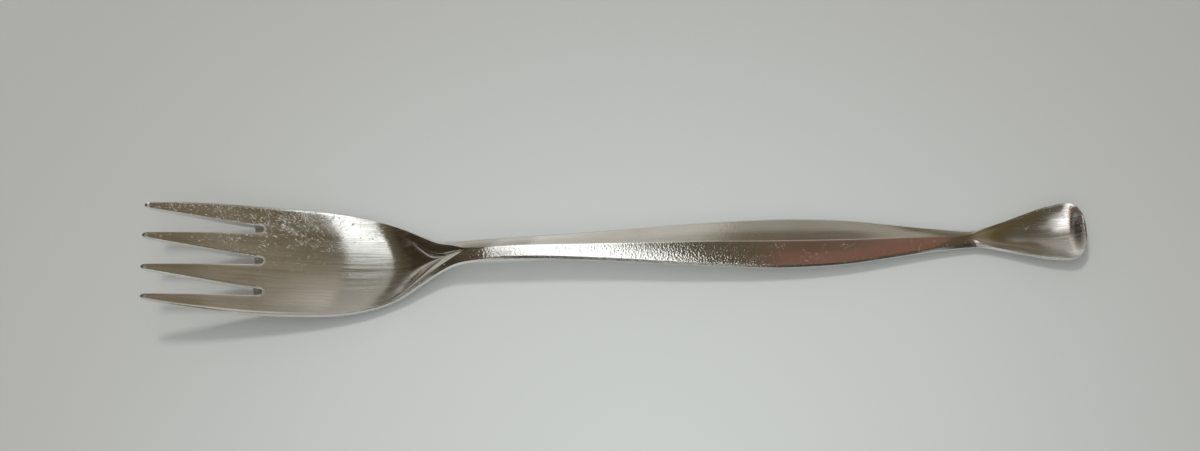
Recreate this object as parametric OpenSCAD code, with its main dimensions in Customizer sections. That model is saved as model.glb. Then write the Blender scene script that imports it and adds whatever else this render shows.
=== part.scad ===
// Four-tined oyster fork with a ridged handle and a spoon-shaped end.
// It lies along X on the table at z = 0, hollow side up, with the tine tips at -X.
// Every section is drawn at a distance s from the tine tips, and each member is lofted through its sections.

/* [Overall] */
// Length from the tine tips to the end of the handle
overall_len = 145.5; // [125:0.5:170]
// Height of the outer tine tips above the table
tip_lift = 12.4; // [9:0.2:16]

/* [Head] */
// Length from the tine tips to the point where the two rims meet
head_len = 49; // [42:1:56]
// Greatest width of the head
head_w = 18.1; // [15:0.1:22]
// Lowest height of the bowl's rim above the table
rim_low = 2.6; // [2.4:0.1:3.4]
// Depth of the bowl below its rim
bowl_depth = 1.3; // [0.6:0.05:1.6]
// Thickness of the metal in the bowl
bowl_t = 1.3; // [0.9:0.05:1.6]
// Width of the narrow flat along the rim
rim_flat = 0.3; // [0.2:0.05:0.4]

/* [Tines] */
// Length of the slots between the tines
tine_len = 17.7; // [12:0.1:20]
// Distance from one slot's centre line to the next
slot_pitch = 5.26; // [4.4:0.02:5.6]
// Radius of the round root of a slot
slot_r = 0.6; // [0.4:0.05:0.8]
// Width of a tine at its tip
tip_w = 0.75; // [0.5:0.05:1.2]
// Thickness of a tine at its tip
tip_t = 0.8; // [0.6:0.05:1.2]
// Length over which a tine is rounded to a point
point_len = 0.9; // [0.5:0.1:2]
// Width across the outer tine tips
tip_spread = 15.9; // [14:0.1:18]

/* [Handle] */
// Width of the handle at its narrow neck
neck_w = 3.7; // [3:0.05:4.4]
// Height of the ridge where the handle arches over the neck
crest_h = 7.45; // [6:0.05:9]
// Greatest width of the handle
swell_w = 8.4; // [6:0.1:10.5]
// Height of the ridge at the widest part
swell_h = 4.3; // [3.8:0.05:5]
// Width of the handle at the waist before its end
waist_w = 3.05; // [2.4:0.05:3.8]
// Height of the upright band along each side of the head and of the scoop
band_h = 0.95; // [0.5:0.05:1.1]
// Height of the sloping bevel along each side of the handle
bevel_h = 0.42; // [0.3:0.02:0.7]
// Width of the sloping bevel along each side of the handle
bevel_w = 0.36; // [0.1:0.02:0.5]
// Rise of the handle's two top facets above flat, at the widest part
facet_crown = 0.1; // [0.02:0.02:0.2]
// Width of the rounded crown along the ridge
crown_w = 0.3; // [0.2:0.02:0.4]
// Thickness of the handle under its ridge
handle_t = 2.45; // [2.2:0.05:3]

/* [End scoop] */
// Length of the end scoop, from the point where the ridge splits
scoop_len = 17.9; // [14:0.1:22]
// Greatest width of the end scoop
scoop_w = 9.5; // [7:0.1:12]
// Height of the rim at the widest part of the scoop
scoop_lift = 3.55; // [3:0.05:4.5]
// Depth of the scoop below its rim
scoop_depth = 1.5; // [0.8:0.05:1.7]
// Thickness of the metal in the scoop
scoop_t = 1.3; // [0.9:0.05:1.5]

/* [Hidden] */

steel = "silver";

// Places along the fork, as a share of the head, of the handle and of the end scoop
scoop_from = overall_len - scoop_len;
handle_len = scoop_from - head_len;
function on_head(share) = head_len * share;
function on_handle(share) = head_len + handle_len * share;
function on_scoop(share) = scoop_from + scoop_len * share;
bowl_to = on_head(0.82);
scoop_widest = on_scoop(0.84);

// A smooth curve through hand-set stations [place, value], which never swings past a station's value
function piece_of(c, s, i = 0) = i >= len(c) - 2 || s <= c[i + 1][0] ? i : piece_of(c, s, i + 1);
function span(c, i) = c[i + 1][0] - c[i][0];
function rate(c, i) = (c[i + 1][1] - c[i][1]) / span(c, i);
function slope(c, i) =
    i == 0 ? rate(c, 0) :
    i == len(c) - 1 ? rate(c, i - 1) :
    rate(c, i - 1) * rate(c, i) <= 0 ? 0 :
    (span(c, i - 1) + span(c, i)) / (span(c, i - 1) / rate(c, i) + span(c, i) / rate(c, i - 1));
function cubic(a, b, slope_a, slope_b, t) =
    a * (1 + 2 * t) * (1 - t) ^ 2 + slope_a * t * (1 - t) ^ 2
    + b * t ^ 2 * (3 - 2 * t) + slope_b * t ^ 2 * (t - 1);
function curve(c, s) =
    let (i = piece_of(c, s), d = span(c, i))
    cubic(c[i][1], c[i + 1][1], slope(c, i) * d, slope(c, i + 1) * d, (s - c[i][0]) / d);
function between(a, b, share) = a + (b - a) * share;

// A value that has stations on the head and on the end scoop, and is even along the handle
function by_member(s, head_line, on_ridge, scoop_line) =
    s <= head_len ? curve(head_line, s) :
    s >= scoop_from ? curve(scoop_line, s) :
    on_ridge;

// Half width over the outer edges
half_head = head_w / 2;
half_neck = neck_w / 2;
half_swell = swell_w / 2;
half_waist = waist_w / 2;
half_scoop = scoop_w / 2;
edge_line = [
    [0, tip_spread / 2],
    [on_head(0.12), half_head * 0.956],
    [on_head(0.33), half_head],
    [on_head(0.49), half_head * 0.985],
    [on_head(0.61), half_head * 0.93],
    [on_head(0.70), half_head * 0.832],
    [on_head(0.78), half_head * 0.68],
    [on_head(0.86), half_head * 0.45],
    [on_head(0.92), half_head * 0.285],
    [on_head(0.98), half_neck * 1.08],
    [on_handle(0.04), half_neck],
    [on_handle(0.15), between(half_neck, half_swell, 0.072)],
    [on_handle(0.27), between(half_neck, half_swell, 0.288)],
    [on_handle(0.47), between(half_neck, half_swell, 0.77)],
    [on_handle(0.625), half_swell],
    [on_handle(0.74), between(half_waist, half_swell, 0.88)],
    [on_handle(0.84), between(half_waist, half_swell, 0.515)],
    [on_handle(0.94), between(half_waist, half_swell, 0.145)],
    [on_scoop(0.03), half_waist],
    [on_scoop(0.25), between(half_waist, half_scoop, 0.25)],
    [on_scoop(0.5), between(half_waist, half_scoop, 0.64)],
    [on_scoop(0.7), between(half_waist, half_scoop, 0.92)],
    [scoop_widest, half_scoop]
];
end_bow = overall_len - scoop_widest;
bow_power = 2.35;
function edge_w(s) =
    s <= scoop_widest ? curve(edge_line, s) :
    half_scoop * (1 - ((s - scoop_widest) / end_bow) ^ bow_power) ^ (1 / bow_power);

// Half width between the two rims, which close up into the crown of the ridge
rim_bevel = 0.18;
rim_inset_head = [
    [0, rim_bevel / 2],
    [on_head(0.36), rim_bevel],
    [on_head(0.76), rim_bevel],
    [on_head(0.86), half_neck * 0.26],
    [on_head(0.92), half_neck * 0.42],
    [on_head(0.96), half_neck * 0.58],
    [head_len, half_neck * 1.04 - crown_w / 2]
];
rim_inset_scoop = [
    [scoop_from, half_waist - crown_w / 2],
    [on_scoop(0.08), half_waist * 0.36],
    [on_scoop(0.2), half_waist * 0.18],
    [on_scoop(0.4), rim_bevel],
    [overall_len, rim_bevel / 2]
];
function rim_w(s) =
    max(crown_w / 2, edge_w(s) - by_member(s, rim_inset_head, edge_w(s), rim_inset_scoop));

// Height of the rims and of the ridge between them
end_round = 0.25;
rim_line = [
    [0, tip_lift],
    [on_head(0.16), between(rim_low, tip_lift, 0.725)],
    [on_head(0.33), between(rim_low, tip_lift, 0.43)],
    [on_head(0.49), between(rim_low, tip_lift, 0.212)],
    [on_head(0.65), between(rim_low, tip_lift, 0.046)],
    [on_head(0.76), rim_low],
    [on_head(0.84), between(rim_low, crest_h, 0.2)],
    [on_head(0.91), between(rim_low, crest_h, 0.46)],
    [on_head(0.98), between(rim_low, crest_h, 0.8)],
    [on_handle(0.03), between(rim_low, crest_h, 0.95)],
    [on_handle(0.10), crest_h],
    [on_handle(0.22), between(swell_h, crest_h, 0.83)],
    [on_handle(0.42), between(swell_h, crest_h, 0.46)],
    [on_handle(0.62), swell_h],
    [on_handle(0.78), swell_h * 0.81],
    [on_handle(0.92), swell_h * 0.73],
    [scoop_from, swell_h * 0.66],
    [on_scoop(0.2), scoop_lift * 0.66],
    [on_scoop(0.5), scoop_lift * 0.8],
    [scoop_widest, scoop_lift],
    [overall_len - end_round, scoop_lift * 1.05],
    [overall_len, scoop_lift * 1.05 - end_round]
];
function rim_z(s) = curve(rim_line, s);

// Drop from the rim or ridge to the outer edge
drop_line = [
    [0, rim_bevel],
    [on_head(0.76), rim_bevel],
    [on_head(0.86), rim_bevel * 2.4],
    [on_head(0.92), rim_bevel * 3.4],
    [head_len, rim_bevel * 3.7],
    [on_handle(0.12), rim_bevel * 3.1],
    [on_handle(0.37), rim_bevel * 2.8],
    [on_handle(0.62), rim_bevel * 2.2],
    [on_handle(0.76), rim_bevel * 2],
    [on_handle(0.9), rim_bevel * 3],
    [scoop_from, rim_bevel * 1.6],
    [on_scoop(0.08), rim_bevel * 0.8],
    [on_scoop(0.2), rim_bevel * 0.5],
    [on_scoop(0.4), rim_bevel],
    [overall_len, rim_bevel]
];
function edge_z(s) = rim_z(s) - curve(drop_line, s);

// Width of the flat inside the rim, which broadens into the neck
crown_flat = crown_w * 0.3;
flat_head = [
    [0, rim_flat * 0.4],
    [on_head(0.36), rim_flat],
    [on_head(0.6), rim_flat],
    [on_head(0.74), rim_flat * 1.7],
    [on_head(0.84), rim_flat * 4],
    [on_head(0.9), rim_flat * 5],
    [on_head(0.95), rim_flat * 4],
    [head_len, crown_flat]
];
flat_scoop = [
    [scoop_from, crown_flat],
    [on_scoop(0.12), rim_flat * 1.4],
    [on_scoop(0.35), rim_flat * 1.6],
    [on_scoop(0.6), rim_flat],
    [overall_len, rim_flat]
];
flat_limit = 0.8;
function flat_w(s) = min(rim_w(s) * flat_limit, by_member(s, flat_head, crown_flat, flat_scoop));
function inside_w(s) = rim_w(s) - flat_w(s);

// Depth of the hollows on the centre line, and the rounded crown that stands above the ridge
crown_h = 0.05;
depth_head = [
    [0, bowl_depth * 0.23],
    [on_head(0.12), bowl_depth * 0.255],
    [on_head(0.24), bowl_depth * 0.31],
    [on_head(0.33), bowl_depth * 0.385],
    [on_head(0.42), bowl_depth * 0.55],
    [on_head(0.5), bowl_depth * 0.75],
    [on_head(0.58), bowl_depth * 0.915],
    [on_head(0.66), bowl_depth],
    [on_head(0.74), bowl_depth],
    [on_head(0.82), bowl_depth * 1.2],
    [on_head(0.88), bowl_depth * 1.25],
    [on_head(0.94), bowl_depth * 0.7],
    [head_len, -crown_h]
];
depth_scoop = [
    [scoop_from, -crown_h],
    [on_scoop(0.2), scoop_depth * 0.42],
    [on_scoop(0.5), scoop_depth * 0.82],
    [on_scoop(0.65), scoop_depth * 0.97],
    [on_scoop(0.76), scoop_depth],
    [on_scoop(0.87), scoop_depth * 0.9],
    [overall_len - rim_flat * 2, scoop_depth * 0.22],
    [overall_len, scoop_depth * 0.05]
];
function depth(s) = by_member(s, depth_head, -crown_h, depth_scoop);
function floor_z(s) = rim_z(s) - depth(s);
flat_fall = 0.32;
fall_limit = 0.6;
function flat_z(s) = rim_z(s) - min(flat_fall * flat_w(s), fall_limit * depth(s));

// Middle of that flat, which is hollowed into a shallow flute where it is broad
flute_from = rim_flat * 2;
flute_share = 0.18;
function flute_w(s) = (rim_w(s) + inside_w(s)) / 2;
function flute_z(s) = (rim_z(s) + flat_z(s)) / 2 - flute_share * max(0, flat_w(s) - flute_from);

// Thickness on the centre line
metal_line = [
    [0, tip_t],
    [tine_len, bowl_t],
    [on_head(0.78), bowl_t],
    [on_head(0.86), bowl_t * 1.12],
    [on_head(0.93), between(bowl_t, handle_t, 0.6)],
    [head_len, handle_t],
    [on_handle(0.5), handle_t],
    [on_handle(0.8), handle_t * 0.96],
    [scoop_from, handle_t],
    [on_scoop(0.2), between(scoop_t, handle_t, 0.26)],
    [on_scoop(0.45), scoop_t],
    [overall_len, scoop_t * 0.8]
];
function metal(s) = curve(metal_line, s);
function under_z(s) = floor_z(s) - metal(s);

// Side band: upright on the head and on the scoop, a bevel that spreads towards its foot on the handle
band_draft = 0.06;
spread_line = [
    [0, -band_draft],
    [on_head(0.86), -band_draft],
    [head_len, bevel_w * 0.6],
    [on_handle(0.15), bevel_w],
    [on_handle(0.93), bevel_w],
    [on_scoop(0.06), bevel_w * 2],
    [on_scoop(0.2), bevel_w],
    [on_scoop(0.32), bevel_w * 0.3],
    [on_scoop(0.5), -band_draft],
    [overall_len, -band_draft]
];
band_line = [
    [0, band_h * 0.7],
    [tine_len, band_h * 1.1],
    [on_head(0.8), band_h * 1.1],
    [head_len, bevel_h * 1.2],
    [on_handle(0.15), bevel_h],
    [on_handle(0.85), bevel_h],
    [on_scoop(0.04), bevel_h * 1.7],
    [on_scoop(0.12), bevel_h * 0.9],
    [on_scoop(0.3), bevel_h * 0.8],
    [on_scoop(0.8), band_h],
    [overall_len, band_h * 0.9]
];
bevel_limit = 0.75;
draft_limit = 0.125;
function spread(s) = curve(spread_line, s);
function shoulder_w(s) = edge_w(s) - max(0, min(spread(s), bevel_limit * (edge_w(s) - rim_w(s))));
function band_w(s) = edge_w(s) + max(min(0, spread(s)), -draft_limit * edge_w(s));
function band_z(s) = max(edge_z(s) - curve(band_line, s), under_z(s) + band_draft);

// Middle of a top facet, which is raised a little in proportion to the facet's width
function facet_w(s) = (rim_w(s) + shoulder_w(s)) / 2;
function facet_z(s) = (rim_z(s) + edge_z(s)) / 2 + facet_crown * (shoulder_w(s) - rim_w(s)) / half_swell;

// Height of the hollow and of the underside at y
function top_at(s, y) = between(floor_z(s), flat_z(s), (y / inside_w(s)) ^ 2);
function under_at(s, y) = between(under_z(s), band_z(s), (y / band_w(s)) ^ 2);

// The fork is let down until its lowest point is on the table
mid = overall_len / 2;
rest = min([for (s = [0:0.25:overall_len]) under_z(s)]);
function placed(s, outline) = [for (p = outline) [s - mid, p.x, p.y - rest]];

// Half sections from the top centre outwards and back to the bottom centre, then mirrored.
// Behind the slots, two of the points across lie on the slots' centre lines.
top_share = slot_pitch / inside_w(tine_len);
under_share = slot_pitch / band_w(tine_len);
top_shares = [0, top_share / 2, top_share, (1 + top_share) / 2, 1];
under_shares = [(1 + under_share) / 2, under_share, under_share / 2, 0];
function hollow_half(s) = [for (share = top_shares) [share * inside_w(s), top_at(s, share * inside_w(s))]];
function side_half(s) = [
    [flute_w(s), flute_z(s)],
    [rim_w(s), rim_z(s)],
    [facet_w(s), facet_z(s)],
    [shoulder_w(s), edge_z(s)],
    [band_w(s), band_z(s)]
];
function under_half(s) = [for (share = under_shares) [share * band_w(s), under_at(s, share * band_w(s))]];
function section(s) =
    let (half = concat(hollow_half(s), side_half(s), under_half(s)))
    placed(s, concat(half, [for (i = [len(half) - 2:-1:1]) [-half[i].x, half[i].y]]));

// A solid through a row of sections that all have the same number of points.
// Its two end faces are plain outlines, or fans of triangles round a hub.
function middle(points) = [for (p = points) 1] * points / len(points);
module loft(sections, hubs = false) {
    n = len(sections[0]);
    last = len(sections) - 1;
    walls = [
        for (i = [0:last - 1])
            for (j = [0:n - 1])
                let (a = i * n + j, b = i * n + (j + 1) % n)
                for (face = [[a, b, b + n], [a, b + n, a + n]]) face
    ];
    plain_caps = [[for (j = [n - 1:-1:0]) j], [for (j = [0:n - 1]) last * n + j]];
    first_hub = len(sections) * n;
    hub_caps = concat(
        [for (j = [0:n - 1]) [(j + 1) % n, j, first_hub]],
        [for (j = [0:n - 1]) [last * n + j, last * n + (j + 1) % n, first_hub + 1]]
    );
    hub_points = [middle(sections[0]), middle(sections[last])];
    points = concat([for (section = sections) each section], hubs ? hub_points : []);
    polyhedron(points, concat(walls, hubs ? hub_caps : plain_caps));
}

// Places between two ends in n steps, even at a power of 1, and closer to the first end above it
function steps(from, to, n, power = 1) = [for (i = [0:n]) between(from, to, (i / n) ^ power)];
function backwards(list) = [for (i = [len(list) - 1:-1:0]) list[i]];
closing = 1.35;

// Half width of a slot on one side of its centre line: a round root, then a flare to the tips.
// On the underside the root comes sooner, so that the slot runs out up a ramp.
root_slope = slot_r * 2.2;
slot_flare = 1.15;
through = tine_len - root_slope;
function slot_half(s, open, root) =
    let (to_root = max(0, root - s))
    to_root < slot_r ? sqrt(slot_r ^ 2 - (slot_r - to_root) ^ 2)
    : between(slot_r, open, ((to_root - slot_r) / (root - slot_r)) ^ slot_flare);
inner_open = (slot_pitch - tip_w) / 2;
outer_open = tip_spread / 2 - tip_w - slot_pitch;

// Share of the metal's thickness that stands upright below the ramp, and the ramp's share of the slot's width
lip_share = 0.45;
root_share = 0.85;
ramp_share = 0.65;
ramp_rise = 0.2;
function lip(s) = s <= through ? lip_share : between(lip_share, root_share, (s - through) / root_slope);
function lip_z(s, slot_y) = between(under_at(s, slot_y), top_at(s, slot_y), lip(s));
function ramp_w(under, top) = abs(under) > abs(top) * ramp_share ? under : top * ramp_share;
function slot_wall(s, slot_y, under, top) =
    let (ramp = ramp_w(under, top), low = lip_z(s, slot_y), high = top_at(s, slot_y + top))
    [
        [slot_y + under, under_at(s, slot_y + under)],
        [slot_y + under, low],
        [slot_y + ramp, between(low, high, ramp_rise)],
        [slot_y + top, high]
    ];

// Each tine ends in a rounded point, where the section shrinks towards a place near its top
point_steps = [0.02, 0.08, 0.22, 0.45, 0.72];
point_height = 0.5;
root_steps = [1, 0.62, 0.29, 0.08, 0];
tine_steps = 14;
function point_share(u) = u < point_len ? sqrt(1 - (1 - u / point_len) ^ 2) : 1;
function shrunk(outline, share) =
    let (ys = [for (p = outline) p.x], zs = [for (p = outline) p.y],
         centre = [(min(ys) + max(ys)) / 2, between(min(zs), max(zs), point_height)])
    [for (p = outline) between(centre, p, share)];
function tine_places(from) = concat(
    [for (share = point_steps) from + share * point_len],
    backwards(steps(through - slot_r, from + point_len, tine_steps, closing)),
    [for (i = [1:len(root_steps) - 1]) through - root_steps[i] * slot_r],
    [for (share = root_steps) tine_len - share * slot_r]
);

function inner_tine_half(s) =
    let (top = slot_half(s, inner_open, tine_len), under = slot_half(s, inner_open, through), m = slot_pitch / 2)
    concat(
        slot_wall(s, 0, under, top),
        [[m, top_at(s, m)]],
        backwards(slot_wall(s, slot_pitch, -under, -top)),
        [[m, under_at(s, m)]]
    );
function outer_tine_half(s) =
    let (top = slot_half(s, outer_open, tine_len), under = slot_half(s, outer_open, through),
         top_m = (slot_pitch + top + inside_w(s)) / 2, under_m = (slot_pitch + under + band_w(s)) / 2)
    concat(
        slot_wall(s, slot_pitch, under, top),
        [[top_m, top_at(s, top_m)], [inside_w(s), flat_z(s)]],
        side_half(s),
        [[under_m, under_at(s, under_m)]]
    );

// A tine drawn on the +Y side
outer_tine_back = 0.2;
module tine(outer) {
    from = outer ? outer_tine_back : 0;
    loft([
        for (s = tine_places(from))
            placed(s, shrunk(outer ? outer_tine_half(s) : inner_tine_half(s), point_share(s - from)))
    ], hubs = true);
}

module left_outer_tine() {
    color(steel) mirror([0, 1, 0]) tine(true);
}

module left_inner_tine() {
    color(steel) mirror([0, 1, 0]) tine(false);
}

module right_inner_tine() {
    color(steel) tine(false);
}

module right_outer_tine() {
    color(steel) tine(true);
}

// The shallow bowl behind the slots
bowl_steps = 20;
module bowl() {
    color(steel) loft([for (s = steps(tine_len, bowl_to, bowl_steps, closing)) section(s)]);
}

// The neck, where the two rims close up into the handle's ridge
neck_steps = 9;
module neck() {
    color(steel) loft([for (s = steps(bowl_to, head_len, neck_steps)) section(s)]);
}

// The handle, with a ridge along its top and a narrow bevel along each side
handle_steps = 28;
module handle() {
    color(steel) loft([for (s = steps(head_len, scoop_from, handle_steps)) section(s)]);
}

// The end scoop, where the ridge splits into two rims that part and close round the end
scoop_steps = 10;
bow_steps = [0.3, 0.55, 0.75, 0.88, 0.96, 0.998];
module end_scoop() {
    bow_places = [for (share = bow_steps) scoop_widest + share * end_bow];
    color(steel) loft([for (s = concat(steps(scoop_from, scoop_widest, scoop_steps), bow_places)) section(s)]);
}

left_outer_tine();
left_inner_tine();
right_inner_tine();
right_outer_tine();
bowl();
neck();
handle();
end_scoop();
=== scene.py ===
from math import cos, pi, radians, sin

import bmesh
import bpy
from mathutils import Matrix, Vector


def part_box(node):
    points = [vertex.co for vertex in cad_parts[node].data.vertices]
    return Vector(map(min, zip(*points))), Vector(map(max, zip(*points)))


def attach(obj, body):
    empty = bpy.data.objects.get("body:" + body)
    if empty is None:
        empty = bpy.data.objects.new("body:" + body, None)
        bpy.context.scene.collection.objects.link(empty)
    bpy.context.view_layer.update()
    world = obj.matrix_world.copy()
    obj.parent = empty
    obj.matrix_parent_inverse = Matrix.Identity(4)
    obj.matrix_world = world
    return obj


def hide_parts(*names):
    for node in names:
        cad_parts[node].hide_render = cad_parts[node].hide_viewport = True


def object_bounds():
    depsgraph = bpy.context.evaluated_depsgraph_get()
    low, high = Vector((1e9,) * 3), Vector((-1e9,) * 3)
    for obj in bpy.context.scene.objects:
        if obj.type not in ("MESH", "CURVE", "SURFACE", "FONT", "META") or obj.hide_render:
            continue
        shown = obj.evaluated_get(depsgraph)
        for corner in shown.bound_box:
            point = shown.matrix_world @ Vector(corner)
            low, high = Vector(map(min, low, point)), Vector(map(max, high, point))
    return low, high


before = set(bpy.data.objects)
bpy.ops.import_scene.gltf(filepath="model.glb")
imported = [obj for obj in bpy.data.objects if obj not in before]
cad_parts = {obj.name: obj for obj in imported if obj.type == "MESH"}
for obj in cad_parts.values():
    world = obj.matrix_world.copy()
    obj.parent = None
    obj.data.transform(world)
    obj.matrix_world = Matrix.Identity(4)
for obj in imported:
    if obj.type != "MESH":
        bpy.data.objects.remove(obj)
cad_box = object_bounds()


# The blank: a four-tined oyster fork is one bar of steel, stamped, forged and polished.
# Its surface is made whole here from the solids' own sections, so that no seam shows where members meet,
# and its edges are rounded a little, as the polishing wheel leaves them.
MM = 0.001
same_place = 0.002 * MM
root_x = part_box("bowl")[0].x
neck_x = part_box("neck")[0].x
ridge_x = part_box("handle")[0].x
scoop_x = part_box("end_scoop")[0].x
swell_x = 24 * MM
facet_cuts = 1
line_crease = 0.45
tine_crease = 0.5
tine_corner = radians(30)
smooth_levels = 3

bpy.ops.object.select_all(action="DESELECT")
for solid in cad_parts.values():
    solid.select_set(True)
bpy.context.view_layer.objects.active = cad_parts["handle"]
bpy.ops.object.duplicate()
bpy.ops.object.join()
blank = bpy.context.object
blank.name = "blank"
blank.parent = None
for mark in list(blank.keys()):
    del blank[mark]
blank.data.materials.clear()
bpy.ops.mesh.customdata_custom_splitnormals_clear()
bpy.ops.object.mode_set(mode="EDIT")
bpy.ops.mesh.select_all(action="SELECT")
bpy.ops.mesh.remove_doubles(threshold=same_place)


def level(a, b):
    return abs(a.co.x - b.co.x) < same_place


def upright(face):
    return all(level(face.verts[0], corner) for corner in face.verts)


def lengthways(face):
    return all(abs(face.verts[0].co.y - corner.co.y) < same_place for corner in face.verts)


# The faces where two members meet are inside the metal, so they go, and small holes left are closed.
# Each tip's end becomes one face.
bpy.ops.mesh.select_mode(type="FACE")
cage = bmesh.from_edit_mesh(blank.data)
for face in cage.faces:
    meets = any(abs(face.verts[0].co.x - x) < same_place for x in (root_x, neck_x, ridge_x, scoop_x))
    face.select_set(meets and upright(face) or lengthways(face))
bpy.ops.mesh.delete(type="FACE")
bpy.ops.mesh.select_all(action="SELECT")
bpy.ops.mesh.fill_holes(sides=3)
cage = bmesh.from_edit_mesh(blank.data)
for face in cage.faces:
    face.select_set(upright(face))
bpy.ops.mesh.dissolve_faces()

# Each pair of triangles between two sections becomes one four-sided face.
bpy.ops.mesh.select_mode(type="EDGE")
bpy.ops.mesh.select_all(action="DESELECT")
cage = bmesh.from_edit_mesh(blank.data)
for face in cage.faces:
    if len(face.verts) != 3:
        continue
    middle = face.calc_center_median()
    mirrored = middle.x < root_x and middle.y < 0
    for corner in face.loops:
        after = corner.link_loop_next
        if level(corner.vert, after.vert):
            diagonal = corner.link_loop_prev.edge if mirrored else after.edge
            diagonal.select_set(True)
bpy.ops.mesh.dissolve_edges(use_verts=False, use_face_split=False)


# The long lines of the fork are found at the swell of the handle and followed to both ends.
def swell_lines(side):
    cage = bmesh.from_edit_mesh(blank.data)
    ring_x = min((point.co.x for point in cage.verts), key=lambda x: abs(x - swell_x))
    ring = [p for p in cage.verts if abs(p.co.x - ring_x) < same_place and p.co.y * side > same_place]
    ring.sort(key=lambda point: -abs(point.co.y))
    foot, edge = sorted(ring[:2], key=lambda point: point.co.z)
    rising = sorted((point for point in ring if point.co.z > edge.co.z), key=lambda point: point.co.z)
    facet, rim, inside = rising[-7], rising[-6], rising[-4]
    return foot, edge, facet, rim, inside


def lengthwise(point):
    return next(edge for edge in point.link_edges if not level(point, edge.other_vert(point)))


bpy.ops.mesh.select_all(action="DESELECT")
for side in (1, -1):
    _, edge, facet, rim, _ = swell_lines(side)
    for line in facet.link_edges:
        line.select_set(line.other_vert(facet) in (rim, edge))
bpy.ops.mesh.loop_multi_select(ring=True)
bpy.ops.mesh.subdivide(number_cuts=facet_cuts, smoothness=0)

# The small face at the end of the scoop is stepped across, so that the rim's lines run on round the end.
bpy.ops.mesh.select_mode(type="VERT")
cage = bmesh.from_edit_mesh(blank.data)
end_x = max(point.co.x for point in cage.verts)
end_ring = [point for point in cage.verts if end_x - point.co.x < same_place]
pairs = []
for point in end_ring:
    if point.co.y > same_place:
        across = Vector((end_x, -point.co.y, point.co.z))
        pairs.append((point.index, min(end_ring, key=lambda p: (p.co - across).length).index))
for pair in pairs:
    bpy.ops.mesh.select_all(action="DESELECT")
    cage = bmesh.from_edit_mesh(blank.data)
    cage.verts.ensure_lookup_table()
    for index in pair:
        cage.verts[index].select_set(True)
    bpy.ops.mesh.vert_connect()

# The long lines and the tines' corners are creased, and the rest is rounded by subdivision.
bpy.ops.mesh.select_mode(type="EDGE")
bpy.ops.mesh.select_all(action="DESELECT")
for side in (1, -1):
    foot, edge, _, rim, inside = swell_lines(side)
    for point in (foot, edge, rim, inside):
        lengthwise(point).select_set(True)
bpy.ops.mesh.loop_multi_select(ring=False)
bpy.ops.transform.edge_crease(value=line_crease)
cage = bmesh.from_edit_mesh(blank.data)
creases = cage.edges.layers.float["crease_edge"]
for edge in cage.edges:
    on_tine = max(point.co.x for point in edge.verts) < root_x + same_place
    corner = on_tine and not level(*edge.verts) and edge.calc_face_angle() > tine_corner
    edge.select_set(corner and edge[creases] == 0)
bpy.ops.transform.edge_crease(value=tine_crease)
bpy.ops.object.mode_set(mode="OBJECT")
bpy.ops.object.modifier_add(type="SUBSURF")
rounding = blank.modifiers[-1]
rounding.levels = smooth_levels
rounding.render_levels = smooth_levels
bpy.ops.object.modifier_apply(modifier=rounding.name)
bpy.ops.object.shade_smooth()
bpy.ops.object.mode_set(mode="EDIT")
bpy.ops.mesh.select_all(action="SELECT")
bpy.ops.uv.cube_project(cube_size=1)
bpy.ops.object.mode_set(mode="OBJECT")


# The four tines: flat prongs left between three slots that were cut in the blank, with softened edges.
# Their steel is dulled and scratched by use, most on the far side, and rubbed pale at the slots' roots.
cut_tolerance = 1e-8


def cut_from_blank(name, planes):
    bpy.ops.object.select_all(action="DESELECT")
    blank.select_set(True)
    bpy.context.view_layer.objects.active = blank
    bpy.ops.object.duplicate()
    piece = bpy.context.object
    piece.name = name
    bpy.ops.object.mode_set(mode="EDIT")
    bpy.ops.mesh.select_mode(type="EDGE")
    for point, outward in planes:
        bpy.ops.mesh.select_all(action="SELECT")
        bpy.ops.mesh.bisect(plane_co=point, plane_no=outward, use_fill=True, clear_outer=True,
                            threshold=cut_tolerance)
        bpy.ops.mesh.mark_sharp()
    bpy.ops.object.mode_set(mode="OBJECT")
    return piece


def between_x(low, high):
    return [((low, 0, 0), (-1, 0, 0)), ((high, 0, 0), (1, 0, 0))]


def outer_y(node):
    return max(abs(corner.y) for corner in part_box(node))


def link(tree, source, target):
    tree.links.new(source, target)


def add(tree, kind, **settings):
    node = tree.nodes.new(kind)
    for name, value in settings.items():
        setattr(node, name, value)
    return node


def maths(tree, operation, first, second=None):
    node = add(tree, "ShaderNodeMath", operation=operation)
    for socket, value in zip(node.inputs, (first, second)):
        if isinstance(value, (int, float)):
            socket.default_value = value
        elif value is not None:
            link(tree, value, socket)
    return node.outputs[0]


def ramp(tree, value, low, high, to_low=0.0, to_high=1.0):
    node = add(tree, "ShaderNodeMapRange", interpolation_type="SMOOTHSTEP")
    link(tree, value, node.inputs["Value"])
    for name, number in zip(("From Min", "From Max", "To Min", "To Max"), (low, high, to_low, to_high)):
        node.inputs[name].default_value = number
    return node.outputs[0]


# A mix node keeps its colour sockets behind those for numbers and vectors.
mix_colours = (6, 7)
mix_result = 2


def mixed(tree, share, first, second):
    node = add(tree, "ShaderNodeMix", data_type="RGBA")
    link(tree, share, node.inputs["Factor"])
    for socket, colour in zip(mix_colours, (first, second)):
        if isinstance(colour, tuple):
            node.inputs[socket].default_value = (*colour, 1)
        else:
            link(tree, colour, node.inputs[socket])
    return node.outputs[mix_result]


def effect(name, inputs, outputs):
    tree = bpy.data.node_groups.new(name, "ShaderNodeTree")
    for label, value in inputs.items():
        socket = tree.interface.new_socket(label, in_out="INPUT", socket_type="NodeSocketFloat")
        socket.default_value = value
    for label in outputs:
        tree.interface.new_socket(label, in_out="OUTPUT", socket_type="NodeSocketFloat")
    return tree, add(tree, "NodeGroupInput"), add(tree, "NodeGroupOutput")


def where(tree):
    return add(tree, "ShaderNodeTexCoord").outputs["Object"]


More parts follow.
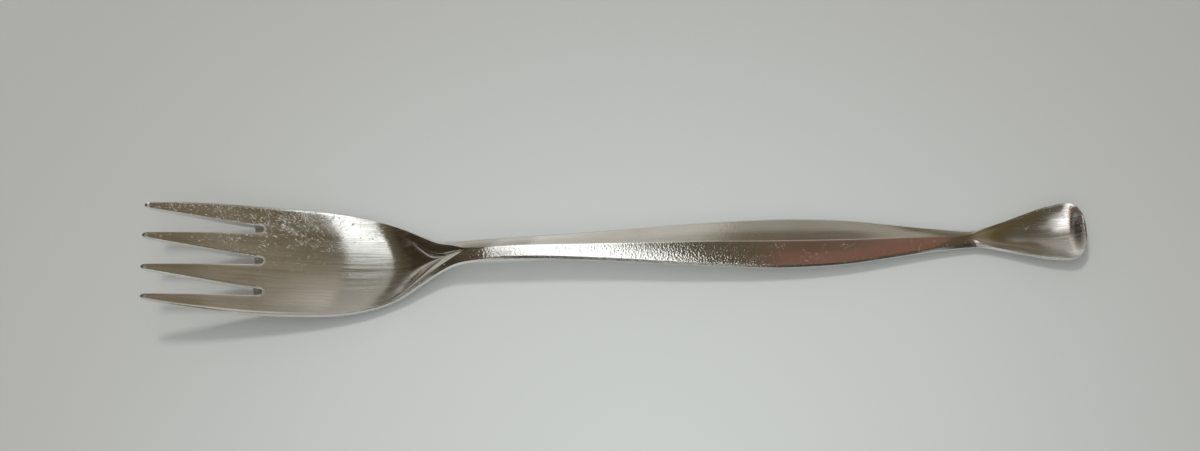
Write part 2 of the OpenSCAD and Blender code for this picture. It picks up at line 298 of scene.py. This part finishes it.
def stretched(tree, along, across, turn=0.0):
    place = where(tree)
    if turn:
        turned = add(tree, "ShaderNodeVectorRotate", rotation_type="Z_AXIS")
        link(tree, place, turned.inputs["Vector"])
        turned.inputs["Angle"].default_value = turn
        place = turned.outputs[0]
    node = add(tree, "ShaderNodeVectorMath", operation="MULTIPLY")
    link(tree, place, node.inputs[0])
    node.inputs[1].default_value = (1 / along, 1 / across, 1 / along)
    return node.outputs[0]


def noise(tree, place, detail=2.0):
    node = add(tree, "ShaderNodeTexNoise")
    link(tree, place, node.inputs["Vector"])
    node.inputs["Scale"].default_value = 1
    node.inputs["Detail"].default_value = detail
    return node.outputs["Fac"]


# Hairlines that polishing left along the fork
fine_line = (9 * MM, 0.16 * MM)
broad_line = (14 * MM, 0.5 * MM)
line_range = (0.75, 1.25)
hairlines, _, result = effect("hairlines", {}, ["Lines"])
fine = noise(hairlines, stretched(hairlines, *fine_line))
broad = noise(hairlines, stretched(hairlines, *broad_line))
both = maths(hairlines, "ADD", fine, broad)
link(hairlines, ramp(hairlines, both, *line_range), result.inputs["Lines"])

# Short scratches in all directions, of which the deepest stand out as bright marks, and a fine grain
scratch_size = (0.8 * MM, 0.13 * MM)
scratch_turns = (0.35, 1.2, 2.1, 2.75)
patch_size = (3 * MM, 2 * MM)
patch_share = 0.3
mark_bar = 1.02
mark_bar_drop = 0.2
mark_softness = 0.25
grain_size = (0.3 * MM, 0.3 * MM)
scuffs, given, result = effect("scuffs", {"Amount": 0.5}, ["Marks", "Relief"])
deepest = None
for turn in scratch_turns:
    streak = noise(scuffs, stretched(scuffs, *scratch_size, turn), detail=1.0)
    deepest = streak if deepest is None else maths(scuffs, "MAXIMUM", deepest, streak)
patches = noise(scuffs, stretched(scuffs, *patch_size))
deepest = maths(scuffs, "ADD", deepest, maths(scuffs, "MULTIPLY", patches, patch_share))
lowered = maths(scuffs, "MULTIPLY", given.outputs["Amount"], mark_bar_drop)
above_bar = maths(scuffs, "SUBTRACT", deepest, maths(scuffs, "SUBTRACT", mark_bar, lowered))
link(scuffs, ramp(scuffs, above_bar, 0.0, mark_softness), result.inputs["Marks"])
grain = noise(scuffs, stretched(scuffs, *grain_size), detail=1.0)
link(scuffs, grain, result.inputs["Relief"])

# Small dents, one in some of the cells of a fine random pattern
dent_cell = (0.5 * MM, 0.42 * MM)
dent_radius = 0.3
dent_softness = 0.12
dents, given, result = effect("dents", {"Amount": 0.5}, ["Dots"])
cells = add(dents, "ShaderNodeTexVoronoi")
link(dents, stretched(dents, *dent_cell), cells.inputs["Vector"])
cells.inputs["Scale"].default_value = 1
pick = add(dents, "ShaderNodeSeparateColor")
link(dents, cells.outputs["Color"], pick.inputs[0])
radius = maths(dents, "MULTIPLY", pick.outputs["Green"], dent_radius)
within = maths(dents, "SUBTRACT", radius, cells.outputs["Distance"])
dot = ramp(dents, within, 0.0, dent_softness)
chosen = maths(dents, "LESS_THAN", pick.outputs["Red"], given.outputs["Amount"])
link(dents, maths(dents, "MULTIPLY", dot, chosen), result.inputs["Dots"])

# The slots' roots, rubbed to a paler, hazy finish: the width is folded until all three fall together
slot_gap = outer_y("left_inner_tine")
rub_x = root_x - 0.6 * MM
rub_range = (1.5 * MM, 0.5 * MM)
rubbed_roots, _, result = effect("rubbed_roots", {}, ["Rubbed"])
spot = add(rubbed_roots, "ShaderNodeSeparateXYZ")
link(rubbed_roots, where(rubbed_roots), spot.inputs[0])
aside = spot.outputs["Y"]
for fold in (0, slot_gap / 2, slot_gap / 2):
    aside = maths(rubbed_roots, "ABSOLUTE", maths(rubbed_roots, "SUBTRACT", aside, fold))
offset = add(rubbed_roots, "ShaderNodeCombineXYZ")
link(rubbed_roots, maths(rubbed_roots, "SUBTRACT", spot.outputs["X"], rub_x), offset.inputs["X"])
link(rubbed_roots, aside, offset.inputs["Y"])
reach = add(rubbed_roots, "ShaderNodeVectorMath", operation="LENGTH")
link(rubbed_roots, offset.outputs[0], reach.inputs[0])
rubbed_spot = ramp(rubbed_roots, reach.outputs["Value"], *rub_range)
link(rubbed_roots, rubbed_spot, result.inputs["Rubbed"])

steel_pale = (0.86, 0.855, 0.84)
steel_dull = (0.80, 0.785, 0.75)
cloud_size = (9 * MM, 4 * MM)
cloud_range = (0.35, 0.7)
brushed = 0.95
brushed_turn = 0.25
mark_depth = 0.004 * MM
mark_cut = 8.0
mark_haze = 0.4
line_haze = 0.12
root_haze = 0.45
wear_range = (0.2, 1.0)


# Each pair of amounts holds at the two ends of a span along the fork; wear grows from side to side.
def worn_steel(name, span, sides, gloss, line, relief, scuff, dent, rubbed=False):
    material = bpy.data.materials.new(name)
    material.use_nodes = True
    tree = material.node_tree
    shader = tree.nodes["Principled BSDF"]
    place = add(tree, "ShaderNodeSeparateXYZ")
    link(tree, where(tree), place.inputs[0])
    wear = ramp(tree, place.outputs["Y"], *sides, *wear_range)

    def along(amounts):
        return ramp(tree, place.outputs["X"], *span, *amounts)

    def worn_side(amounts):
        return maths(tree, "MULTIPLY", along(amounts), wear)

    lines = add(tree, "ShaderNodeGroup", node_tree=hairlines).outputs["Lines"]
    scuffed = add(tree, "ShaderNodeGroup", node_tree=scuffs)
    dented = add(tree, "ShaderNodeGroup", node_tree=dents)
    link(tree, worn_side(scuff), scuffed.inputs["Amount"])
    link(tree, worn_side(dent), dented.inputs["Amount"])
    worn = maths(tree, "MAXIMUM", scuffed.outputs["Marks"], dented.outputs["Dots"])
    cloud = ramp(tree, noise(tree, stretched(tree, *cloud_size), detail=3.0), *cloud_range)
    link(tree, mixed(tree, cloud, steel_pale, steel_dull), shader.inputs["Base Color"])
    grooves = maths(tree, "MULTIPLY", lines, along(line))
    haze = maths(tree, "ADD", along(gloss), maths(tree, "MULTIPLY", grooves, line_haze))
    haze = maths(tree, "MAXIMUM", haze, maths(tree, "MULTIPLY", worn, mark_haze))
    if rubbed:
        roots = add(tree, "ShaderNodeGroup", node_tree=rubbed_roots).outputs["Rubbed"]
        haze = maths(tree, "MAXIMUM", haze, maths(tree, "MULTIPLY", roots, root_haze))
    link(tree, haze, shader.inputs["Roughness"])
    pebbles = maths(tree, "MULTIPLY", scuffed.outputs["Relief"], worn_side(relief))
    cuts = maths(tree, "MULTIPLY", worn, mark_cut)
    height = maths(tree, "SUBTRACT", maths(tree, "ADD", grooves, pebbles), cuts)
    bump = add(tree, "ShaderNodeBump")
    bump.inputs["Distance"].default_value = mark_depth
    link(tree, height, bump.inputs["Height"])
    link(tree, bump.outputs[0], shader.inputs["Normal"])
    shader.inputs["Metallic"].default_value = 1
    shader.inputs["Anisotropic"].default_value = brushed
    shader.inputs["Anisotropic Rotation"].default_value = brushed_turn
    lay = add(tree, "ShaderNodeTangent", direction_type="UV_MAP")
    link(tree, lay.outputs[0], shader.inputs["Tangent"])
    return material


def fit(piece, node, material):
    piece.data.materials.append(material)
    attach(piece, "root")
    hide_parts(node)


far_worn = (-6 * MM, 7 * MM)
tine_steel = worn_steel("tine_steel", span=(-73 * MM, root_x), sides=far_worn, gloss=(0.17, 0.17),
                        line=(0.4, 0.4), relief=(0.1, 0.1), scuff=(0.95, 1.15), dent=(0.06, 0.08),
                        rubbed=True)
for hand, side in (("left", -1), ("right", 1)):
    inner, outer = f"{hand}_inner_tine", f"{hand}_outer_tine"
    slot_y = side * outer_y(inner)
    root = ((root_x, 0, 0), (1, 0, 0))
    centre = ((0, 0, 0), (0, -side, 0))
    slot_out = ((0, slot_y, 0), (0, side, 0))
    slot_in = ((0, slot_y, 0), (0, -side, 0))
    fit(cut_from_blank(f"{inner}_plate", [root, centre, slot_out]), inner, tine_steel)
    fit(cut_from_blank(f"{outer}_plate", [root, slot_in]), outer, tine_steel)


# The bowl: the shallow hollow behind the slots, pressed into the steel and brushed along its length.
# Food and other cutlery have scratched it most where it meets the tines.
bowl_steel = worn_steel("bowl_steel", span=(-50 * MM, -38 * MM), sides=far_worn, gloss=(0.17, 0.17),
                        line=(0.4, 0.9), relief=(0.1, 0.1), scuff=(1.15, 0.85), dent=(0.08, 0.04),
                        rubbed=True)
fit(cut_from_blank("bowl_plate", between_x(root_x, neck_x)), "bowl", bowl_steel)


# The neck: the forged steel rise behind the bowl, where the two rims close up into the handle's ridge.
# It is hard to reach, so it has kept most of its polish.
near_worn = (0.1 * MM, -0.5 * MM)
neck_steel = worn_steel("neck_steel", span=(-27 * MM, ridge_x), sides=near_worn, gloss=(0.13, 0.11),
                        line=(0.4, 0.3), relief=(0.5, 6.5), scuff=(0.3, 0.7), dent=(0.05, 0.05))
fit(cut_from_blank("neck_plate", between_x(neck_x, ridge_x)), "neck", neck_steel)


# The handle: a forged steel bar with a ridge on top, two sloping facets and a narrow bevel each side.
# Its facets are polished flat, and the near one is freckled with small marks from the drawer.
handle_steel = worn_steel("handle_steel", span=(18 * MM, 32 * MM), sides=near_worn, gloss=(0.13, 0.13),
                          line=(0.3, 0.3), relief=(6.5, 0.8), scuff=(0.7, 0.7), dent=(0.05, 0.05))
fit(cut_from_blank("handle_plate", between_x(ridge_x, scoop_x)), "handle", handle_steel)


# The end scoop: the handle's end, spread and hollowed like a small spoon with a thin raised rim.
# Its steel is brushed along the fork and dented most towards the end.
beyond_end = cad_box[1][0] + MM
scoop_steel = worn_steel("scoop_steel", span=(scoop_x, 65 * MM), sides=far_worn, gloss=(0.17, 0.18),
                         line=(0.3, 0.9), relief=(0.3, 0.3), scuff=(0.4, 0.7), dent=(0.05, 0.15))
fit(cut_from_blank("end_scoop_plate", between_x(scoop_x, beyond_end)), "end_scoop", scoop_steel)

# All pieces are cut, so the blank itself goes.
bpy.data.objects.remove(blank)


# The floor: a sheet of pale grey paper. Its colour is painted lighter in the middle and darker towards
# the edges: a painted pool of light with painted shade where the lamps' light falls off.
# It is flat and matt, and it keeps the fork's shadow.
paper_size = 3.0
paper_pale = (0.81, 0.835, 0.825)
# Painted shade: the paper's colour away from its lit middle.
paper_painted_shade = (0.585, 0.58, 0.555)
painted_light_middle = Vector((0.004, -0.035, 0))
painted_shade_reach = 0.125
paper_rough = 0.9
paper_gloss = 0.1
bpy.ops.object.select_all(action="DESELECT")
bpy.ops.mesh.primitive_plane_add(size=paper_size)
floor = bpy.context.object
floor.name = "floor"
paper = bpy.data.materials.new("paper")
paper.use_nodes = True
tree = paper.node_tree
shader = tree.nodes["Principled BSDF"]
shader.inputs["Roughness"].default_value = paper_rough
shader.inputs["Specular IOR Level"].default_value = paper_gloss
# Painted light and shade: the paper's colour darkens with distance from a lit middle, in place of the
# lamps' falloff.
away = add(tree, "ShaderNodeVectorMath", operation="DISTANCE")
link(tree, where(tree), away.inputs[0])
away.inputs[1].default_value = painted_light_middle
painted_shade = ramp(tree, away.outputs["Value"], 0.0, painted_shade_reach)
link(tree, mixed(tree, painted_shade, paper_pale, paper_painted_shade), shader.inputs["Base Color"])
floor.data.materials.append(paper)


# The light: a soft lamp above the near side and a small lamp behind the fork light the paper.
# The metal mirrors faces of the soft lamp, pale cards and a brown room, which the paper does not see.
def panel(name, wide, deep, height, radiance, colour, on_paper=False, in_metal=False):
    bpy.ops.object.light_add(type="AREA")
    lamp = bpy.context.object
    lamp.name = name
    lamp.location = (sum(wide) / 2, sum(deep) / 2, height)
    lamp.visible_camera = False
    lamp.visible_diffuse = on_paper
    lamp.visible_glossy = in_metal
    lamp.data.shape = "RECTANGLE"
    lamp.data.size = wide[1] - wide[0]
    lamp.data.size_y = deep[1] - deep[0]
    lamp.data.energy = radiance * pi * lamp.data.size * lamp.data.size_y
    lamp.data.color = colour


panel("lamp_panel", wide=(-0.11, 0.058), deep=(-0.42, 0.05), height=0.4,
      radiance=1.65, colour=(0.95, 1, 0.99), on_paper=True)
panel("lamp_face", wide=(-0.09, 0.057), deep=(-0.075, 0.058), height=0.39,
      radiance=1.65, colour=(0.97, 1, 0.99), in_metal=True)
panel("lamp_foot", wide=(-0.03, 0.081), deep=(-0.26, -0.077), height=0.39,
      radiance=1.3, colour=(0.97, 1, 1), in_metal=True)
panel("neck_card", wide=(-0.045, -0.012), deep=(-0.065, -0.015), height=0.1,
      radiance=0.72, colour=(0.97, 1, 1), in_metal=True)
panel("back_lamp", wide=(-0.15, -0.05), deep=(0.10, 0.20), height=0.8,
      radiance=46, colour=(1, 1, 0.98), on_paper=True)
panel("pale_card", wide=(-0.055, 0.085), deep=(0.066, 0.37), height=0.1,
      radiance=0.235, colour=(1, 0.97, 0.90), in_metal=True)
panel("bright_card", wide=(-0.012, 0.042), deep=(0.062, 0.37), height=0.103,
      radiance=0.2, colour=(1, 0.99, 0.95), in_metal=True)
panel("near_card", wide=(-0.005, 0.052), deep=(-0.40, -0.22), height=0.1,
      radiance=0.72, colour=(0.98, 1, 1), in_metal=True)
panel("rosy_card", wide=(0.035, 0.066), deep=(-0.074, 0.013), height=0.06,
      radiance=0.105, colour=(1, 0.27, 0.27), in_metal=True)

room = bpy.data.worlds.new("room")
bpy.context.scene.world = room
room.use_nodes = True
tree = room.node_tree
sky = tree.nodes["Background"]
direction = add(tree, "ShaderNodeSeparateXYZ")
link(tree, add(tree, "ShaderNodeTexCoord").outputs["Generated"], direction.inputs[0])
rightward = maths(tree, "ARCTAN2", direction.outputs["X"], direction.outputs["Z"])
nearness = maths(tree, "MULTIPLY", direction.outputs["Y"], -1.0)
forward = maths(tree, "ARCTAN2", nearness, direction.outputs["Z"])


# A sweep sets colours at angles between -90 and 90 degrees from straight up.
def sweep(angle, stops):
    node = add(tree, "ShaderNodeValToRGB")
    link(tree, maths(tree, "ADD", maths(tree, "MULTIPLY", angle, 1 / pi), 0.5), node.inputs[0])
    colours = node.color_ramp.elements
    while len(colours) < len(stops):
        colours.new(1.0)
    for place, (degrees, colour) in zip(colours, stops.items()):
        place.position = 0.5 + degrees / 180
        place.color = (*colour, 1)
    return node.outputs[0]


walls = sweep(rightward, {
    -42: (0.033, 0.024, 0.012),
    -14: (0.10, 0.083, 0.052),
    8: (0.085, 0.073, 0.050),
    16: (0.085, 0.066, 0.034),
    26: (0.098, 0.070, 0.026),
    60: (0.21, 0.175, 0.12),
})
far_side = sweep(rightward, {
    -70: (0.48, 0.45, 0.40),
    -40: (0.50, 0.48, 0.44),
    0: (0.46, 0.46, 0.44),
    14: (0.42, 0.41, 0.38),
    20: (0.26, 0.24, 0.19),
    40: (0.24, 0.215, 0.175),
})
near_side = sweep(rightward, {
    -62: (0.45, 0.43, 0.40),
    -54: (0.35, 0.33, 0.30),
    -46: (0.035, 0.030, 0.024),
})
far_range = (radians(-58), radians(-76))
near_range = (radians(58), radians(68))
sides = mixed(tree, ramp(tree, forward, *far_range), walls, far_side)
sides = mixed(tree, ramp(tree, forward, *near_range), sides, near_side)
plain_light = (0.36, 0.36, 0.355)
in_mirror = add(tree, "ShaderNodeLightPath").outputs["Is Glossy Ray"]
link(tree, mixed(tree, in_mirror, plain_light, sides), sky.inputs["Color"])


# The camera: it stands where the photographer held it, above the near side, looking down on the fork.
# Its lens, place and roll were fitted to the photo's outline.
image_wide = 1200
focal_pixels = 2200
camera_lift = radians(66)
camera_swing = radians(2)
camera_roll = radians(-4.43)
camera_distance = 348.1 * MM
camera_aim = Vector((-2.75 * MM, 6.0 * MM, 0))
nearest_seen = 10 * MM
outward = cos(camera_lift)
back = Vector((sin(camera_swing) * outward, -cos(camera_swing) * outward, sin(camera_lift)))
right = Vector((cos(camera_swing), sin(camera_swing), 0))
up = back.cross(right)
turned_right = right * cos(camera_roll) + up * sin(camera_roll)
turned_up = up * cos(camera_roll) - right * sin(camera_roll)
bpy.ops.object.camera_add()
camera = bpy.context.object
facing = Matrix((turned_right, turned_up, back)).transposed().to_4x4()
camera.matrix_world = Matrix.Translation(camera_aim + back * camera_distance) @ facing
camera.data.sensor_fit = "HORIZONTAL"
camera.data.lens = camera.data.sensor_width * focal_pixels / image_wide
camera.data.clip_start = nearest_seen
bpy.context.scene.camera = camera
bpy.context.scene.view_settings.view_transform = "Standard"
